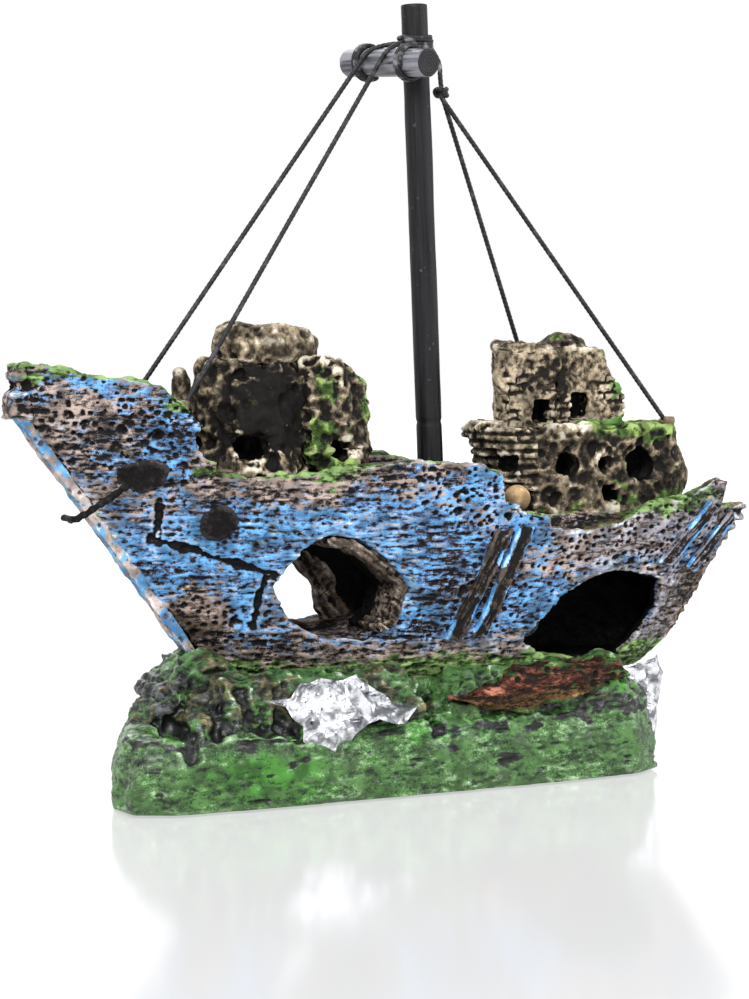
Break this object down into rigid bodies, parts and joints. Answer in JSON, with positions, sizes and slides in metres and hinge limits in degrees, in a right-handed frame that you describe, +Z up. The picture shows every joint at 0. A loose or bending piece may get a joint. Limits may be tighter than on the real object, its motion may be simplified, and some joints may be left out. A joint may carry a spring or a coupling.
{
  "type": "aquarium shipwreck air ornament",
  "caption": "Free-standing aquarium ornament: a wrecked hull with a swim-through and a stern cave on a reef base, deck rocks, a castle, a lashed mast with stays, and an airline nipple.",
  "frame": {"origin": "on the surface that the ornament stands on, at the middle of its plan", "axes": "+X from the bow to the stern, +Z up, -Y the port side, which has the stern cave"},
  "size_m": [0.1397, 0.048, 0.1351],
  "materials": {
    "green_base": "satin",
    "painted_hull": "matte",
    "dark_resin": "matte",
    "bark_resin": "matte",
    "tan_rock": "matte",
    "rust_resin": "matte",
    "foil": "polished",
    "dark_wood": "satin",
    "cord": "matte",
    "glue": "satin",
    "clear_plastic": "gloss",
    "air_stone": "matte"
  },
  "bodies": {
    "ship": {"aft_deck": "painted_hull", "aft_stay_far": "cord", "aft_stay_far_plug": "glue", "aft_stay_near": "cord", "aft_stay_near_plug": "glue", "air_inlet": "clear_plastic", "base_slab": "green_base", "bow_nose": "painted_hull", "bow_rope": "dark_resin", "castle_boulder": "tan_rock", "castle_house": "tan_rock", "castle_tower": "tan_rock", "foil_scrap_front": "foil", "foil_scrap_stern": "foil", "fore_rock": "tan_rock", "fore_rock_cap": "tan_rock", "fore_rock_lobe": "tan_rock", "fore_spire": "tan_rock", "fore_stay_far": "cord", "fore_stay_far_plug": "glue", "fore_stay_near": "cord", "fore_stay_near_plug": "glue", "hawse_patch": "dark_resin", "hull": "painted_hull", "lashing_tail": "cord", "mast": "dark_wood", "mast_lashing": "cord", "pebble": "tan_rock", "port_reef_aft": "green_base", "port_reef_fore": "green_base", "porthole_boss": "dark_resin", "quarter_timber_aft": "painted_hull", "quarter_timber_fore": "painted_hull", "reef_bed": "green_base", "rib_timber_aft": "painted_hull", "rib_timber_fore": "painted_hull", "roof_rubble": "tan_rock", "rust_patch": "rust_resin", "starboard_reef": "green_base", "stay_knot": "cord", "stem_bar": "painted_hull", "stem_rock": "dark_resin", "stern_terrace": "tan_rock", "torn_plank": "bark_resin", "tunnel_lining": "bark_resin", "yard": "dark_wood", "yard_lashing_far": "cord", "yard_lashing_near": "cord"},
    "air_stone": {"air_stone": "air_stone"}
  },
  "joints": [
    {"name": "air_stone_pull", "type": "slide", "parent": "ship", "child": "air_stone", "axis": [0, -1, 0], "range_m": [0, 0.03]}
  ]
}
